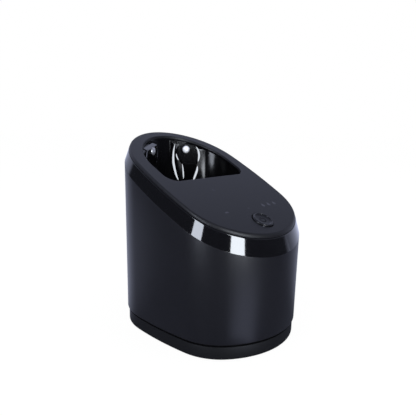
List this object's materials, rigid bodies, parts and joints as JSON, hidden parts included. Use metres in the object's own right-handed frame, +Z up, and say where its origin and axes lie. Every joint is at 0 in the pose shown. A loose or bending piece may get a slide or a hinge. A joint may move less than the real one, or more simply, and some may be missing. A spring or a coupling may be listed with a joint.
{
  "type": "shaver cleaning station",
  "caption": "Oval desktop station with a slanted top, an open pocket with charging contacts for a shaver's head, a start button, and a housing that lifts off its fluid cartridge.",
  "frame": {"origin": "on the surface it stands on, under the middle of the body's bounding box", "axes": "+Z up, -Y out of the low front with the start button, +Y out of the tall back with the lift button, +X to the right seen from the front"},
  "size_m": [0.119, 0.15, 0.1585],
  "materials": {
    "base_plastic": "fine spark-eroded grain, black",
    "foot_rubber": "matte",
    "screw_steel": "zinc plated",
    "post_steel": "drawn tube",
    "spring_steel": "spring wire",
    "frame_plastic": "moulded, dark grey",
    "cartridge_plastic": "moulded, black",
    "cartridge_lid_plastic": "moulded, dark grey",
    "filter_felt": "felt",
    "seal_rubber": "silicone",
    "housing_plastic": "fine grain, blue-black",
    "trim_gloss": "piano black",
    "panel_plastic": "soft matte, slate blue-grey",
    "bowl_gloss": "piano black",
    "board_laminate": "solder mask",
    "clear_plastic": "clear acrylic",
    "motor_steel": "plated",
    "tube_plastic": "natural",
    "inlet_plastic": "moulded, black",
    "pin_brass": "plated",
    "button_plastic": "soft matte, slate blue-grey",
    "lever_plastic": "acetal",
    "contact_metal": "polished nickel",
    "wheel_plastic": "moulded"
  },
  "bodies": {
    "base": {"base_tray": "base_plastic", "feet": "foot_rubber", "post_screws": "screw_steel", "guide_posts": "post_steel", "lift_springs": "spring_steel", "latch_bridge": "frame_plastic", "cartridge_tank": "cartridge_plastic", "cartridge_lid": "cartridge_lid_plastic", "cartridge_filter": "filter_felt", "lid_seals": "seal_rubber"},
    "housing": {"housing_shell": "housing_plastic", "chassis": "frame_plastic", "trim_band": "trim_gloss", "top_panel": "panel_plastic", "cradle_bowl": "bowl_gloss", "control_board": "board_laminate", "light_guide": "clear_plastic", "motor_can": "motor_steel", "fan_housing": "frame_plastic", "pump_housing": "frame_plastic", "intake_tube": "tube_plastic", "fill_tube": "tube_plastic", "power_inlet": "inlet_plastic", "inlet_pins": "pin_brass", "latch_pin": "screw_steel"},
    "start_button": {"start_button": "button_plastic"},
    "lift_button": {"lift_button": "housing_plastic"},
    "latch": {"latch_lever": "lever_plastic"},
    "contact_left": {"contact_left": "contact_metal"},
    "contact_right": {"contact_right": "contact_metal"},
    "rotor": {"motor_shaft": "screw_steel", "fan_wheel": "wheel_plastic", "pump_wheel": "wheel_plastic"}
  },
  "joints": [
    {"name": "housing_lift", "type": "slide", "parent": "base", "child": "housing", "axis": [0, 0, 1], "range_m": [0, 0.046], "deforming": ["lift_springs"]},
    {"name": "start_press", "type": "slide", "parent": "housing", "child": "start_button", "axis": [0, 0.4289, -0.9033], "range_m": [0, 0.0008], "stiffness_N_per_m": 400, "springref_m": -0.001},
    {"name": "lift_press", "type": "slide", "parent": "housing", "child": "lift_button", "axis": [0, -1, 0], "range_m": [0, 0.0025], "stiffness_N_per_m": 250, "springref_m": -0.002},
    {"name": "latch_tilt", "type": "hinge", "parent": "housing", "child": "latch", "pos_m": [0, 0.066, 0.074], "axis": [1, 0, 0], "range_deg": [0, 14.4]},
    {"name": "contact_left_press", "type": "slide", "parent": "housing", "child": "contact_left", "axis": [-0.4462, 0.8949, 0], "range_m": [0, 0.0015], "stiffness_N_per_m": 200, "springref_m": -0.001},
    {"name": "contact_right_press", "type": "slide", "parent": "housing", "child": "contact_right", "axis": [0.4462, 0.8949, 0], "range_m": [0, 0.0015], "stiffness_N_per_m": 200, "springref_m": -0.001},
    {"name": "motor_spin", "type": "hinge", "parent": "housing", "child": "rotor", "pos_m": [0, -0.03, 0.07], "axis": [0, 0, 1], "continuous": true}
  ],
  "couplings": [
    {"joint": "latch_tilt", "follows": "lift_press", "rad_per_m": 100}
  ]
}
